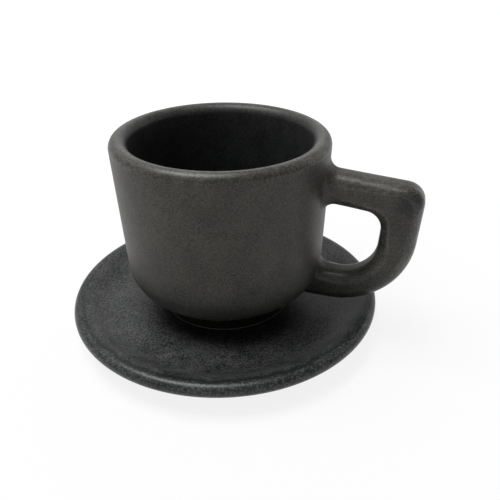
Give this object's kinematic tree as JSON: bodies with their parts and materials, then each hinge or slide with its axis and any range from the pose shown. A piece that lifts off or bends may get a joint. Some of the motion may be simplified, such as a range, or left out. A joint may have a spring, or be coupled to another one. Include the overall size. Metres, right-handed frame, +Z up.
{
  "type": "espresso cup with saucer",
  "caption": "Straight-walled stoneware espresso cup with a chunky D handle and foot ring, standing on a round saucer with a raised lip. The cup lifts off and turns.",
  "frame": {"origin": "the saucer's axis at the level of the table that it stands on", "axes": "+Z up along the axis of cup and saucer, +X from that axis out along the handle"},
  "size_m": [0.1156, 0.1048, 0.067],
  "materials": {
    "cup_glaze": "satin charcoal glaze, warm, finely mottled",
    "saucer_glaze": "satin charcoal glaze, slightly cooler, finely speckled",
    "bare_clay": "bare dark stoneware, matte"
  },
  "bodies": {
    "saucer": {"saucer_plate": "saucer_glaze", "saucer_foot_ring": "bare_clay"},
    "cup_foot": {"cup_foot_ring": "bare_clay"},
    "cup": {"cup_bowl": "cup_glaze", "cup_handle": "cup_glaze"}
  },
  "joints": [
    {"name": "cup_lift", "type": "slide", "parent": "saucer", "child": "cup_foot", "axis": [0, 0, 1], "range_m": [0, 0.08]},
    {"name": "cup_turn", "type": "hinge", "parent": "cup_foot", "child": "cup", "pos_m": [0, 0, 0.013], "axis": [0, 0, 1], "continuous": true}
  ]
}
